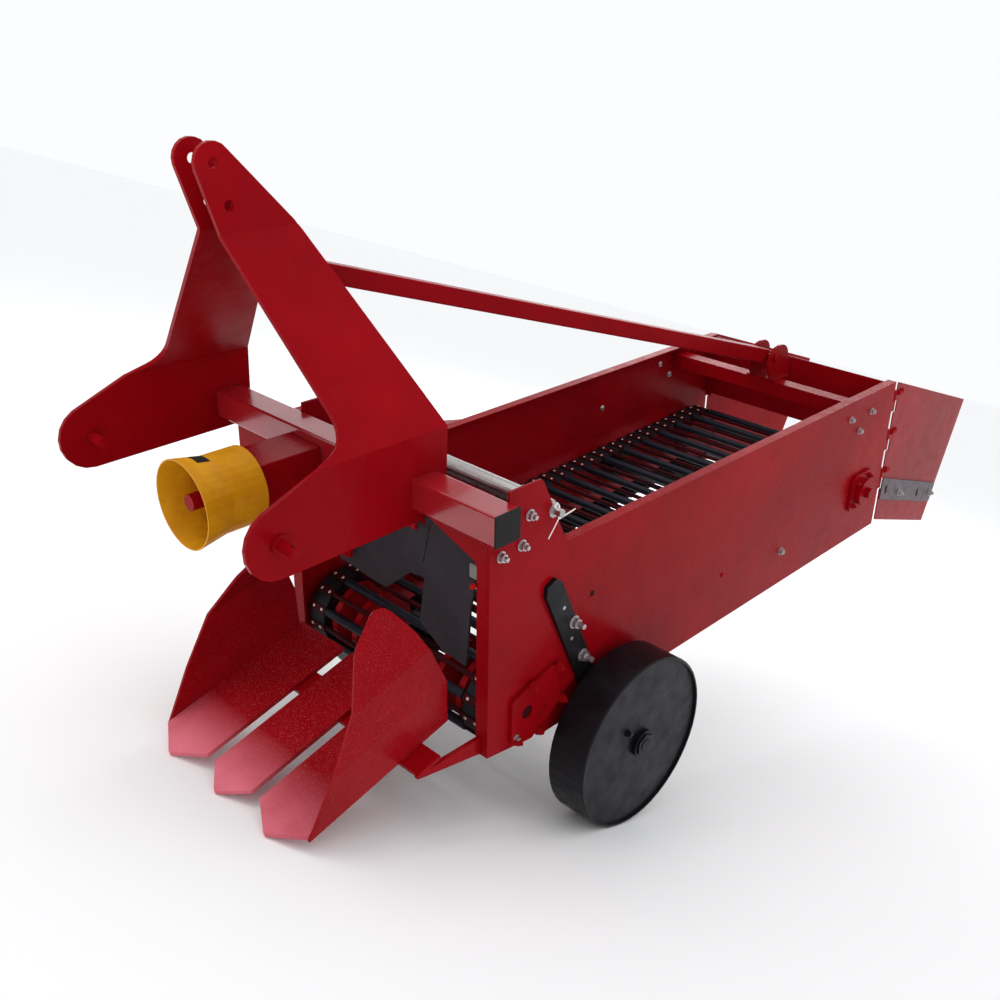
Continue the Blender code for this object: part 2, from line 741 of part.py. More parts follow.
def chain_drive():
    """Cross shaft tube from the gearbox's neck to the chain case along the right side."""
    start = HITCH_X - GEAR_NECK[0] / 2 - SEAT
    length = start - CHAIN_X - SEAT
    add("cross_drive_tube", rod(CROSS_DRIVE_R, (CHAIN_X + SEAT, *CROSS_DRIVE), length, sides=20), RED)
    angle = atan2(REAR_AXIS[1] - CROSS_DRIVE[1], REAR_AXIS[0] - CROSS_DRIVE[0])
    outside = chain_outline(CHAIN_CASE_R, angle)
    case = add("chain_case", outline_mesh([outside], "YZ", CHAIN_X - CHAIN_CASE, CHAIN_X), RED)
    top = BEAM_Z - BEAM / 2 - 0.008
    front = PORTAL_Y - PORTAL / 2
    cover = box((CHAIN_X - COVER_WIDTH, front, COVER_LOW), (CHAIN_X - 0.0005, COVER_BACK, top))
    boolean(case, cover, "UNION")
    upper = chain_outline(CHAIN_CASE_R - CASE_WALL, angle)
    over = upper[5::-1] + upper[:15:-1]
    pocket = over + [(y, z - 3 * CHAIN_CASE_R) for y, z in (over[-1], over[0])]
    hollow = outline_mesh([pocket], "YZ", CHAIN_X - CHAIN_CASE + CASE_WALL, CHAIN_X - CASE_WALL)
    boolean(case, hollow, "DIFFERENCE")
    low = (CHAIN_X - COVER_WIDTH + CASE_WALL, front + CASE_WALL, COVER_LOW - CHAIN_CASE_R)
    high = (CHAIN_X - CHAIN_CASE - CASE_WALL, COVER_BACK - CASE_WALL, top - CASE_WALL)
    boolean(case, box(low, high), "DIFFERENCE")


def chain_outline(radius, angle):
    """Long rounded outline round both sprockets, from the front one's upper side on."""
    outline = []
    for (y, z), first in ((CROSS_DRIVE, radians(90)), (REAR_AXIS, radians(-90))):
        for k in range(11):
            a = angle + first + pi * k / 10
            outline.append((y + radius * cos(a), z + radius * sin(a)))
    return outline


# ---------------------------------------------------------------- curtain
def curtain():
    width = HALF - SEAT * 2
    start = (-width + PANEL, CURTAIN_TUBE_Y, CURTAIN_TUBE_Z)
    tube = rod(CURTAIN_TUBE_D / 2, start, 2 * (width - PANEL), sides=24)
    pivot = add("curtain_tube", tube, STEEL)
    reach = HALF + FRONT_PLATE + 0.022
    pin = rod(CURTAIN_PIN_D / 2, (-reach, CURTAIN_TUBE_Y, CURTAIN_TUBE_Z), 2 * reach, sides=16)
    boolean(pivot, pin, "UNION")
    face = PORTAL_Y + PORTAL / 2 + SEAT
    front = [(face + back, z) for z, back in CURTAIN_FALL]
    outline = front + [(y + RUBBER, z) for y, z in reversed(front)]
    sheet = outline_mesh([outline], "YZ", -HALF, HALF)
    rubber = add("rubber_curtain", sheet, CURTAIN_RUBBER)
    shape = outline_mesh([CURTAIN_OUTLINE], "XZ", -face - 0.05, -face + 0.01)
    boolean(rubber, shape, "INTERSECT")


# ---------------------------------------------------------------- shares
SHARE_ANGLE = atan2(SHARE_REAR_Z - SHARE_TIP_Z, SHARE_REAR_Y - SHARE_TIP_Y)
SHARE_LENGTH = hypot(SHARE_REAR_Z - SHARE_TIP_Z, SHARE_REAR_Y - SHARE_TIP_Y)


def share_place():
    """From share axes (x across, y up the slope from the point, z off its face) to the box."""
    slope = Matrix.Rotation(SHARE_ANGLE, 4, "X")
    return Matrix.Translation((0.0, SHARE_TIP_Y, SHARE_TIP_Z)) @ slope


def share_mesh(middle, width):
    half = width / 2
    outline = rounded([
        (middle - half, SHARE_POINT, 0.006),
        (middle, 0.0, 0.006),
        (middle + half, SHARE_POINT, 0.006),
        (middle + half, SHARE_LENGTH, 0.0),
        (middle - half, SHARE_LENGTH, 0.0),
    ], 3)
    mesh = outline_mesh([outline], "XY", -SHARE, 0.0)
    mesh.transform(share_place())
    return mesh


def shares():
    add("share_centre", share_mesh(0.0, CENTRE_SHARE_WIDTH), RED)
    for name, side in SIDES:
        width = 2 * (WING_SECTION[0][1] - WING - SEAT - SHARE_X)
        add("share_" + name, share_mesh(side * SHARE_X, width), RED)


def wing_mesh():
    """Side wing of a share: an outline in share length and height, bent inwards at two creases."""
    outline = rounded(WING_OUTLINE, 4)
    flat = outline_mesh([outline], "XY", 0.0, 0.0)
    bm = bmesh.new()
    bm.from_mesh(flat)
    bmesh.ops.remove_doubles(bm, verts=bm.verts, dist=0.00001)
    for height, _ in WING_SECTION[1:-1]:
        everything = bm.verts[:] + bm.edges[:] + bm.faces[:]
        bmesh.ops.bisect_plane(bm, geom=everything, plane_co=(0, height, 0), plane_no=(0, 1, 0))
    table = ((-1.0, WING_SECTION[0][1]), *WING_SECTION)
    for vert in bm.verts:
        length, height, _ = vert.co
        vert.co = (interpolate(table, height), length, height)
    bmesh.ops.recalc_face_normals(bm, faces=bm.faces)
    if sum(face.normal.x for face in bm.faces) < 0:
        bmesh.ops.reverse_faces(bm, faces=bm.faces)
    mesh = mesh_of(bm)
    mesh.transform(share_place())
    return mesh


def wings():
    for name, side in SIDES:
        mesh = wing_mesh()
        wing = add("wing_" + name, on_side(mesh, side), RED)
        solid = wing.modifiers.new("thickness", "SOLIDIFY")
        solid.thickness = WING
        solid.offset = -1.0


def share_carrier():
    """Cross bar under the shares on two arms that are bolted inside the front plates."""
    place = share_place()
    distance = (CARRIER_Y - SHARE_TIP_Y) / cos(SHARE_ANGLE)
    bar = box(
        (-ARM_X - CARRIER / 2, distance - CARRIER_DEPTH / 2, -SHARE - SEAT - CARRIER),
        (ARM_X + CARRIER / 2, distance + CARRIER_DEPTH / 2, -SHARE - SEAT),
    )
    bar.transform(place)
    carrier = add("share_carrier", bar, RED)
    front = place @ Vector((0.0, distance - CARRIER_DEPTH / 2, -SHARE - SEAT))
    seat = PORTAL_Y - PORTAL / 2 - SEAT
    arm = rounded([
        (front.y, front.z - CARRIER, 0.0),
        (front.y, front.z - 0.001, 0.0),
        (seat, ARM_HIGH, 0.0),
        (seat, ARM_LOW, 0.0),
    ])
    plates = []
    for side in (1.0, -1.0):
        x = side * ARM_X
        plates.append(outline_mesh([arm], "YZ", x - CARRIER / 2, x + CARRIER / 2))
    boolean(carrier, joined(plates), "UNION")


# ---------------------------------------------------------------- web
def web_path(offset):
    """Outline of the loop round both rollers, offset inwards from the belt's outer face."""
    front_r = FRONT_BELT_R - offset
    rear_r = REAR_BELT_R - offset
    dy = REAR_AXIS[0] - FRONT_AXIS[0]
    dz = REAR_AXIS[1] - FRONT_AXIS[1]
    slope = atan2(dz, dy)
    lean = (front_r - rear_r) / hypot(dy, dz)
    steps = 12
    out = []
    for k in range(steps + 1):
        a = slope + pi / 2 - lean + (pi + 2 * lean) * k / steps
        out.append((FRONT_AXIS[0] + front_r * cos(a), FRONT_AXIS[1] + front_r * sin(a)))
    for k in range(steps + 1):
        a = slope - pi / 2 + lean + (pi - 2 * lean) * k / steps
        out.append((REAR_AXIS[0] + rear_r * cos(a), REAR_AXIS[1] + rear_r * sin(a)))
    return out


def along_path(points, spacing, multiple):
    """Points at equal spacing round a closed outline, their number a multiple of this one."""
    closed = points + points[:1]
    lengths = [hypot(b[0] - a[0], b[1] - a[1]) for a, b in zip(closed, closed[1:])]
    count = multiple * round(sum(lengths) / spacing / multiple)
    step = sum(lengths) / count
    out = []
    travelled = 0.0
    target = step / 2
    for a, b, length in zip(closed, closed[1:], lengths):
        while target <= travelled + length and len(out) < count:
            t = (target - travelled) / length
            out.append((a[0] + (b[0] - a[0]) * t, a[1] + (b[1] - a[1]) * t))
            target += step
        travelled += length
    return out


def web():
    """One closed loop: two side belts joined by cross rods."""
    ring = [web_path(0.0), web_path(BELT)]
    edge = WEB_WIDTH / 2
    belts = [
        outline_mesh(ring, "YZ", edge - BELT_WIDTH - 0.010, edge - 0.010),
        outline_mesh(ring, "YZ", -edge + 0.010, -edge + BELT_WIDTH + 0.010),
    ]
    loop = add("web_loop", joined(belts), WEB_RUBBER)
    rods = []
    for k, (y, z) in enumerate(along_path(web_path(BELT / 2), ROD_PITCH, 2)):
        radius = BARE_ROD_D / 2 if k % 2 else ROD_D / 2
        rods.append(rod(radius, (-edge, y, z), WEB_WIDTH, sides=6))
    boolean(loop, joined(rods), "UNION")


def roller(name, axis, radius, reach_left, reach_right, finish=RED):
    """Cross shaft with a wheel inside each belt."""
    shaft = add(name, rod(SHAFT_D / 2, (-reach_right, *axis), reach_left + reach_right), finish)
    edge = WEB_WIDTH / 2 - 0.010
    wheels = [
        rod(radius, (edge - BELT_WIDTH, *axis), BELT_WIDTH, sides=20),
        rod(radius, (-edge, *axis), BELT_WIDTH, sides=20),
    ]
    boolean(shaft, joined(wheels), "UNION")


def rollers():
    rod_bulge = (ROD_D - BELT) / 2
    front_r = FRONT_BELT_R - BELT - rod_bulge - ROLLER_GAP
    rear_r = REAR_BELT_R - BELT - rod_bulge - ROLLER_GAP
    plate_out = HALF + SEAT + FRONT_PLATE
    roller("front_web_roller", FRONT_AXIS, front_r, plate_out + 0.004, plate_out + 0.004)
    chain_in = -CHAIN_X - SEAT
    roller("rear_drive_shaft", REAR_AXIS, rear_r, HALF + 0.040, chain_in)
    dy = REAR_AXIS[0] - FRONT_AXIS[0]
    run_front = FRONT_AXIS[1] + FRONT_BELT_R
    run_rear = REAR_AXIS[1] + REAR_BELT_R
    for name, (y, _) in zip(("front", "rear"), SUPPORTS):
        run = run_front + (run_rear - run_front) * (y - FRONT_AXIS[0]) / dy
        z = run - BELT - rod_bulge - SEAT - SUPPORT_R
        inner = INSIDE - SEAT
        roller("support_roller_" + name, (y, z), SUPPORT_R, inner, inner, BLACK)


def bearings():
    half = BEARING / 2
    bore = SHAFT_D / 2 + SEAT
    face = HALF + SEAT
    for name, side in SIDES:
        depth = BEARING_DEPTH if side > 0 else -CHAIN_X - SEAT - face
        plate = rounded([
            (REAR_AXIS[0] + y * half, REAR_AXIS[1] + z * half, 0.02)
            for y, z in ((-1, -1), (1, -1), (1, 1), (-1, 1))
        ], 4)
        flange = outline_mesh([plate, circle(REAR_AXIS, bore)], "YZ", face, face + 0.008)
        bearing = add("rear_bearing_" + name, on_side(flange, side), RED)
        collar = outline_mesh(
            [circle(REAR_AXIS, half * 0.72, 20), circle(REAR_AXIS, bore)], "YZ", face + 0.004, face + depth
        )
        boolean(bearing, on_side(collar, side), "UNION")
    plate_face = HALF + SEAT + FRONT_PLATE + SEAT
    outline = rounded([
        (-1.540, -0.410, 0.015),
        (-1.480, -0.418, 0.015),
        (-1.392, -0.360, 0.015),
        (-1.412, -0.262, 0.015),
        (-1.540, -0.300, 0.015),
    ], 4)
    for name, side in SIDES:
        holder = outline_mesh(
            [outline, circle(FRONT_AXIS, bore)], "YZ", plate_face, plate_face + 0.008
        )
        add("front_bearing_plate_" + name, on_side(holder, side), RED)


# ---------------------------------------------------------------- wheels
def wheel_height():
    """Height of the wheel centres at which wheels and share points stand on one level floor."""
    point_y = SHARE_TIP_Y + SHARE * sin(SHARE_ANGLE)
    point_z = SHARE_TIP_Z - SHARE * cos(SHARE_ANGLE)
    floor = point_y * sin(INCLINE) + point_z * cos(INCLINE)
    return (floor + WHEEL_R - WHEEL_Y * sin(INCLINE)) / cos(INCLINE)


WHEEL_Z = wheel_height()


def wheel_arms():
    face = HALF + SEAT + FRONT_PLATE + SEAT
    angle = atan2(ARM_TOP[1] - WHEEL_Z, ARM_TOP[0] - WHEEL_Y)
    half = ARM_WIDTH / 2
    foot = [
        (WHEEL_Y + half * cos(angle + a), WHEEL_Z + half * sin(angle + a))
        for a in [radians(90) + radians(180) * k / 8 for k in range(9)]
    ]
    top = [
        (ARM_TOP[0] + half * cos(angle + a), ARM_TOP[1] + half * sin(angle + a))
        for a in (radians(-90), radians(-35), radians(35), radians(90))
    ]
    for name, side in SIDES:
        plate = outline_mesh([foot + top], "YZ", face, face + ARM)
        add("wheel_arm_" + name, on_side(plate, side), BLACK)
        start = face + ARM + SEAT
        end = WHEEL_INNER_X + WHEEL_WIDTH + 0.010
        axle = rod(AXLE_D / 2, (start, WHEEL_Y, WHEEL_Z), end - start, sides=24)
        add("wheel_axle_" + name, on_side(axle, side), BLACK)


def wheels():
    """Drum wheel: a rim, a disc near its outer edge and a hub, all in one turned shape."""
    bore = AXLE_D / 2 + AXLE_FIT
    width = WHEEL_WIDTH
    disc_out = width - DISC_INSET
    disc_in = disc_out - DISC
    profile = [
        (WHEEL_R - 0.003, width),
        (WHEEL_R, width - 0.003),
        (WHEEL_R, 0.003),
        (WHEEL_R - 0.003, 0.0),
        (WHEEL_R - RIM, 0.0),
        (WHEEL_R - RIM, disc_in),
        (HUB_R, disc_in),
        (HUB_R, 0.002),
        (bore, 0.002),
        (bore, width + 0.004),
        (HUB_R, width + 0.004),
        (HUB_R, disc_out),
        (WHEEL_R - RIM, disc_out),
        (WHEEL_R - RIM, width),
    ]
    for name, side in SIDES:
        axis = axis_empty("wheel_axis_" + name, (side * WHEEL_INNER_X, WHEEL_Y, WHEEL_Z))
        drum = turned_mesh(profile, 48, "X")
        add("wheel_" + name, on_side(drum, side), BLACK, axis)


# ---------------------------------------------------------------- rear flaps
def flaps():
    """Rear flaps on the hinge line behind the panels, each with its slotted bar."""
    for name, side in SIDES:
        place = (side * HINGE_X, HINGE_Y, 0.0)
        hinge = axis_empty("flap_axis_" + name, place, (0.0, 0.0, side * FLAP_IN))
        radius = KNUCKLE_D / 2
        outer = radius + 0.0005
        outline = rounded([(y, z, 0.004) for y, z in FLAP_OUTLINE], 2)
        sheet = outline_mesh([outline], "YZ", outer - FLAP, outer)
        flap = add("rear_flap_" + name, on_side(sheet, side), RED, hinge)
        reach = radius + HINGE_CLEAR
        notches = [
            box((-reach, -reach, z - KNUCKLE * 1.5 - HINGE_CLEAR), (reach, reach, z - KNUCKLE / 2 + 0.001))
            for z in KNUCKLES
        ]
        boolean(flap, on_side(joined(notches), side), "DIFFERENCE")
        eyes = [rod(radius, (0.0, 0.0, z - KNUCKLE / 2), KNUCKLE, "Z", 12) for z in KNUCKLES]
        boolean(flap, on_side(joined(eyes), side), "UNION")
        corners = rounded([(y, z, 0.006) for y, z in BAR_OUTLINE], 3)
        bar = outline_mesh([corners], "YZ", outer + SEAT, outer + SEAT + BAR)
        add("flap_bar_" + name, on_side(bar, side), ZINC, hinge)


# ---------------------------------------------------------------- standing on the floor
def stand_on_floor():
    """Moves the frame so that the lowest point is on z = 0 and the origin is under the box's centre."""
    bpy.context.view_layer.update()
    graph = bpy.context.evaluated_depsgraph_get()
    low = Vector((1e9, 1e9, 1e9))
    high = -low
    for piece in PARTS.objects:
        if piece.type != "MESH":
            continue
        shape = piece.evaluated_get(graph)
        for vert in shape.data.vertices:
            point = shape.matrix_world @ vert.co
            low = Vector(map(min, low, point))
            high = Vector(map(max, high, point))
    ROOT.location = (-(low.x + high.x) / 2, -(low.y + high.y) / 2, -low.z)
    bpy.context.view_layer.update()


def shade():
    for piece in PARTS.objects:
        if piece.type == "MESH":
            piece.data.shade_smooth()
            piece.data.set_sharp_from_angle(angle=radians(35))


def main():
    side_panels()
    front_plates()
    front_portal()
    beam()
    hitch_plates()
    link_pins()
    hitch_tie()
    brace()
    brace_bracket()
    rear_cross()
    gearbox_mount()
    gearbox()
    pto()
    chain_drive()
    curtain()
    shares()
    wings()
    share_carrier()
    web()
    rollers()
    bearings()
    wheel_arms()
    wheels()
    flaps()
    shade()
    stand_on_floor()


main()
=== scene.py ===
import json
from math import atan2, cos, hypot, pi, radians, sin

import bmesh
import bpy
from mathutils import Matrix, Vector, noise


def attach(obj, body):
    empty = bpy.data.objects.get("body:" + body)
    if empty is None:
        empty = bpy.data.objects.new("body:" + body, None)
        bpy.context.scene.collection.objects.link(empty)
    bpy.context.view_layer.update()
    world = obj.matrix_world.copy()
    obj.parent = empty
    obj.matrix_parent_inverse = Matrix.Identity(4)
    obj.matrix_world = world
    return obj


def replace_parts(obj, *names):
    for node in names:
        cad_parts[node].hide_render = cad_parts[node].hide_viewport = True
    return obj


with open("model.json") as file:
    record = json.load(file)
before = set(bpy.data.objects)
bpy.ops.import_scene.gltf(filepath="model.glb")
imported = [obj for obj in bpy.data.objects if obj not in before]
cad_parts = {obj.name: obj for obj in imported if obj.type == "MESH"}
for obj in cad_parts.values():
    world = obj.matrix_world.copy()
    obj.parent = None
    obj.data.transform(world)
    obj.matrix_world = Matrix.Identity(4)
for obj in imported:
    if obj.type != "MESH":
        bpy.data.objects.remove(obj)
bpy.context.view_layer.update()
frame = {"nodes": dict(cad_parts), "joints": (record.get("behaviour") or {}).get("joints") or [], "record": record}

# ---------------------------------------------------------------- the digger's own frame
# X across the trough, Y rearwards along its side panels, Z square to their top edge. Sizes are in metres.
INCLINE = radians(19.5)
JOINTS = {joint["name"]: joint for joint in frame["joints"]}
TILT = Matrix.Rotation(INCLINE, 4, "X")
HINGE = Vector((0.302, 0.014, 0.0))
FLAP_IN = radians(3.0)
OFFSET = Vector(JOINTS["flap_l_swing"]["pos_m"]) - TILT @ HINGE
BOX = Matrix.Translation(OFFSET) @ TILT
WHEEL_LOCAL = BOX.inverted() @ Vector(JOINTS["wheel_l_spin"]["pos_m"])
FORWARD = Vector((0, -1, 0))

# headstock and front beam
HITCH_X = -0.2195
LINK_HALF = 0.340
LINK_PIN = (-1.922, 0.120)
HITCH_PLATE = 0.010
BEAM_FRONT = -1.617
BEAM_REAR = -1.553
BEAM_TOP = 0.147
BEAM_LOW = 0.083

# gearbox and guard
GEARBOX_Z = 0.072
GUARD_BEND = -1.848
GUARD_END = -1.913
GUARD_REAR_R = 0.082
GUARD_FRONT_R = 0.094

# box, as its half width and the outer faces of what is bolted to it
HALF = 0.310
SEAT = 0.0003
PLATE_OUT = HALF + SEAT + 0.006
ARM_OUT = PLATE_OUT + SEAT + 0.010
BEARING = SEAT + 0.008
MARK = 0.001

# web
FRONT_AXIS = (-1.495, -0.345)
REAR_AXIS = (-0.125, -0.290)
FRONT_R = 0.095
REAR_R = 0.085
BELT_IN = 0.230
BELT_OUT = 0.280
BELT = 0.010
BELT_SKIN = 0.0015
ROD_PITCH = 0.085
SLEEVE_R = 0.0100
BARE_R = 0.0055
ROD_END_R = 0.006
ROD_END = 0.012
CLIP = (BELT_OUT - BELT_IN + 0.004, 0.017, 0.003)
RIVET_R = 0.0042
RIVET_APART = 0.014

# places on the box, as (y, z), the same on both sides
BEAM_BOLTS = ((-1.497, 0.102), (-1.517, 0.045), (-1.573, 0.041))
ARM_BOLTS = ((-1.364, -0.185), (-1.331, -0.280))
ARM_HOLES = ((-1.397, -0.138), (-1.369, -0.223))
CROSS_BOLTS = ((-0.238, -0.049), (-0.125, -0.054), (-0.180, -0.097))
PANEL_BOLT = (-0.520, -0.340)
LOW_PLATE_BOLT = (-1.527, -0.393)
ROLLER_BOLTS = (
    (-1.484, -0.286), (-1.406, -0.274), (-1.389, -0.363),
    (-1.451, -0.362), (-1.461, -0.408), (-1.525, -0.402),
)
BEARING_BOLT = 0.036
INNER_BOLTS = ((-0.525, -0.113), (-0.262, -0.042), (-0.212, -0.085))
PANEL_HEAD = (-0.790, -0.306)
SMALL_HOLE = (-1.290, -0.154)
SMALL_STREAK = (-1.290, -0.163)

# curtain's tube, and the wire of the split pin through its end
TUBE_END = (-1.429, 0.089)
SPLIT_PIN_X = 0.331
SPLIT_EYE = ((-1.431, 0.104), (-1.437, 0.112), (-1.445, 0.106), (-1.436, 0.100))
SPLIT_LEGS = (
    ((-1.431, 0.104), (-1.429, 0.076), (-1.388, 0.084)),
    ((-1.432, 0.104), (-1.432, 0.076), (-1.462, 0.046)),
)
SPLIT_SPREAD = 0.003
SPLIT_R = 0.0014
CURTAIN_FACE = -1.5970
SEAM = ((0.149, 0.060), (0.127, -0.034))

# rear flaps, in each flap's own frame, with (y, z) places
FLAP_FACE = 0.0085
BAR_FACE = FLAP_FACE + SEAT + 0.004
FLAP_BOLTS = ((0.140, -0.390), (0.408, -0.482))
FLAP_SLOTS = ((0.036, -0.345), (0.300, -0.446))
FLAP_WELDS = (-0.045, -0.163, -0.283)

# wheels
WHEEL_BOLT_X = 0.4285
HUB_NUT = (0.4375, 0.4425)
HUB_NUT_R = 0.027


# ---------------------------------------------------------------- materials
def new_material(name):
    made = bpy.data.materials.new(name)
    made.use_nodes = True
    tree = made.node_tree
    return made, tree, tree.nodes["Principled BSDF"]


def coordinates(tree):
    """Object coordinates, in metres, in each piece's own frame."""
    return tree.nodes.new("ShaderNodeTexCoord").outputs["Object"]


def noise_of(tree, vector, scale, detail=3.0, rough=0.5):
    made = tree.nodes.new("ShaderNodeTexNoise")
    made.inputs["Scale"].default_value = scale
    made.inputs["Detail"].default_value = detail
    made.inputs["Roughness"].default_value = rough
    tree.links.new(vector, made.inputs["Vector"])
    return made.outputs["Fac"]


def ramp(tree, value, low, high, out_low=0.0, out_high=1.0):
    made = tree.nodes.new("ShaderNodeMapRange")
    made.inputs["From Min"].default_value = low
    made.inputs["From Max"].default_value = high
    made.inputs["To Min"].default_value = out_low
    made.inputs["To Max"].default_value = out_high
    tree.links.new(value, made.inputs["Value"])
    return made.outputs["Result"]


def math_node(tree, kind, a, b):
    made = tree.nodes.new("ShaderNodeMath")
    made.operation = kind
    for socket, value in zip(made.inputs, (a, b)):
        if isinstance(value, (int, float)):
            socket.default_value = value
        else:
            tree.links.new(value, socket)
    return made.outputs["Value"]


def mixed(tree, factor, first, second):
    """Colour between two, each a socket or a tuple."""
    made = tree.nodes.new("ShaderNodeMix")
    made.data_type = "RGBA"
    sockets = [s for s in made.inputs if s.type == "RGBA"]
    for socket, value in zip(sockets, (first, second)):
        if isinstance(value, tuple):
            socket.default_value = (*value, 1.0)
        else:
            tree.links.new(value, socket)
    tree.links.new(factor, made.inputs["Factor"])
    return next(s for s in made.outputs if s.type == "RGBA")


def gloss(shader, level, tint=(1.0, 1.0, 1.0)):
    """Strength and colour of the head-on reflection."""
    shader.inputs["Specular IOR Level"].default_value = level
    shader.inputs["Specular Tint"].default_value = (*tint, 1.0)


def surface(tree, shader, height, distance, edge):
    """Fine bump over slightly rounded edges."""
    bump = tree.nodes.new("ShaderNodeBump")
    bump.inputs["Strength"].default_value = 1.0
    bump.inputs["Distance"].default_value = distance
    tree.links.new(height, bump.inputs["Height"])
    if edge:
        rounded = tree.nodes.new("ShaderNodeBevel")
        rounded.samples = 4
        rounded.inputs["Radius"].default_value = edge
        tree.links.new(rounded.outputs["Normal"], bump.inputs["Normal"])
    tree.links.new(bump.outputs["Normal"], shader.inputs["Normal"])


DUST = (0.16, 0.035, 0.028)
CHIPPED = (0.10, 0.012, 0.010)
GRAIN = (0.75, 0.45, 0.42)
# pale pink painted towards the share tips: a painted reflection of the sky on their top faces
TIP_REFLECTION = (0.80, 0.20, 0.26)
TIP_START = 0.020
TIP_REACH = 0.130
FINE_PEEL = 260.0
BROAD_PEEL = 16.0
PEEL_DEPTH = 0.00035


def paint(
    name, colour, dark, rough=0.24, coat=0.02, edge=0.0012, speckle=0.0, dust=0.10,
    level=0.06, tint=(1.0, 0.30, 0.36), tip_y=None,
):
    """Gloss enamel: uneven tone, orange peel, a little dust and small chips.

    tip_y is the front end of a share in its own frame: from there a pale pink painted reflection is laid over the
    paint, fading rearwards.
    """
    made, tree, shader = new_material(name)
    vector = coordinates(tree)
    broad = noise_of(tree, vector, 3.2, 4.0, 0.6)
    tone = mixed(tree, ramp(tree, broad, 0.32, 0.70), dark, colour)
    dusty = noise_of(tree, vector, 11.0, 6.0, 0.65)
    tone = mixed(tree, ramp(tree, dusty, 0.56, 0.82, 0.0, dust), tone, DUST)
    chips = noise_of(tree, vector, 160.0, 2.0, 0.5)
    tone = mixed(tree, ramp(tree, chips, 0.765, 0.785), tone, CHIPPED)
    if speckle:
        grains = noise_of(tree, vector, 420.0, 1.0, 0.5)
        tone = mixed(tree, ramp(tree, grains, 0.62, 0.66, 0.0, speckle), tone, GRAIN)
    # painted reflection: pale pink over the front of a share, fading rearwards and broken up by the broad noise
    if tip_y is not None:
        along = tree.nodes.new("ShaderNodeSeparateXYZ")
        tree.links.new(vector, along.inputs["Vector"])
        front = ramp(tree, along.outputs["Y"], tip_y + TIP_START, tip_y + TIP_REACH, 0.85, 0.0)
        patchy = ramp(tree, broad, 0.30, 0.62, 0.45, 1.0)
        tone = mixed(tree, math_node(tree, "MULTIPLY", front, patchy), tone, TIP_REFLECTION)
    tree.links.new(tone, shader.inputs["Base Color"])
    uneven = noise_of(tree, vector, 24.0, 5.0, 0.6)
    roughness = ramp(tree, uneven, 0.3, 0.75, rough * 0.75, rough * 1.5)
    tree.links.new(roughness, shader.inputs["Roughness"])
    shader.inputs["Coat Weight"].default_value = coat
    shader.inputs["Coat Roughness"].default_value = 0.10
    gloss(shader, level, tint)
    broad_peel = math_node(tree, "MULTIPLY", noise_of(tree, vector, BROAD_PEEL, 2.0), 3.0)
    peel = math_node(tree, "ADD", noise_of(tree, vector, FINE_PEEL, 2.0), broad_peel)
    surface(tree, shader, peel, PEEL_DEPTH, edge)
    return made


def metal(name, colour, rough, stain=(0.20, 0.16, 0.13), amount=0.5, edge=0.0005):
    """Plated or bare metal with duller, stained patches."""
    made, tree, shader = new_material(name)
    vector = coordinates(tree)
    patch = noise_of(tree, vector, 60.0, 5.0, 0.65)
    tone = mixed(tree, ramp(tree, patch, 0.45, 0.75, 0.0, amount), colour, stain)
    tree.links.new(tone, shader.inputs["Base Color"])
    tree.links.new(ramp(tree, patch, 0.3, 0.8, rough, rough + 0.25), shader.inputs["Roughness"])
    shader.inputs["Metallic"].default_value = 1.0
    surface(tree, shader, noise_of(tree, vector, 500.0, 2.0), 0.00012, edge)
    return made


def rubber(name, colour, pale, rough=0.55, edge=0.0008, fine=380.0, sheen=0.0):
    """Rubber or plastic, with pale scuffed patches and a fine grain."""
    made, tree, shader = new_material(name)
    vector = coordinates(tree)
    patch = noise_of(tree, vector, 14.0, 6.0, 0.7)
    tone = mixed(tree, ramp(tree, patch, 0.42, 0.80), colour, pale)
    tree.links.new(tone, shader.inputs["Base Color"])
    tree.links.new(ramp(tree, patch, 0.3, 0.8, rough, rough + 0.2), shader.inputs["Roughness"])
    shader.inputs["Sheen Weight"].default_value = sheen
    gloss(shader, 0.20)
    surface(tree, shader, noise_of(tree, vector, fine, 3.0), 0.0003, edge)
    return made


DEEP_RED = ((0.330, 0.0030, 0.0080), (0.235, 0.0020, 0.0055))
TIP_Y = min(vert.co.y for vert in frame["nodes"]["share_left"].data.vertices)

RED = paint("red_enamel", (0.310, 0.0022, 0.0060), (0.215, 0.0016, 0.0045))
# the front beam's copy of the enamel: its higher gloss and coat are real, its lighter, pinker base colour is a
# painted reflection of the sky
PAINTED_SHEEN_RED = paint(
    "red_enamel_painted_sheen", (0.36, 0.010, 0.016), (0.27, 0.006, 0.010),
    rough=0.18, coat=0.6, level=0.6, tint=(1.0, 0.8, 0.85),
)
BLADE = paint("red_enamel_worn", *DEEP_RED, rough=0.22, speckle=0.06, level=0.12)
SHARE_RED = paint("red_enamel_share", *DEEP_RED, rough=0.22, speckle=0.12, level=0.12, tip_y=TIP_Y)
BRIGHT_RED = paint(
    "red_enamel_small", (0.340, 0.0040, 0.0070), (0.24, 0.003, 0.005), rough=0.28, edge=0.0006
)
DULL_RED = paint("red_primer", (0.060, 0.006, 0.008), (0.022, 0.004, 0.006), rough=0.5, edge=0.0004)
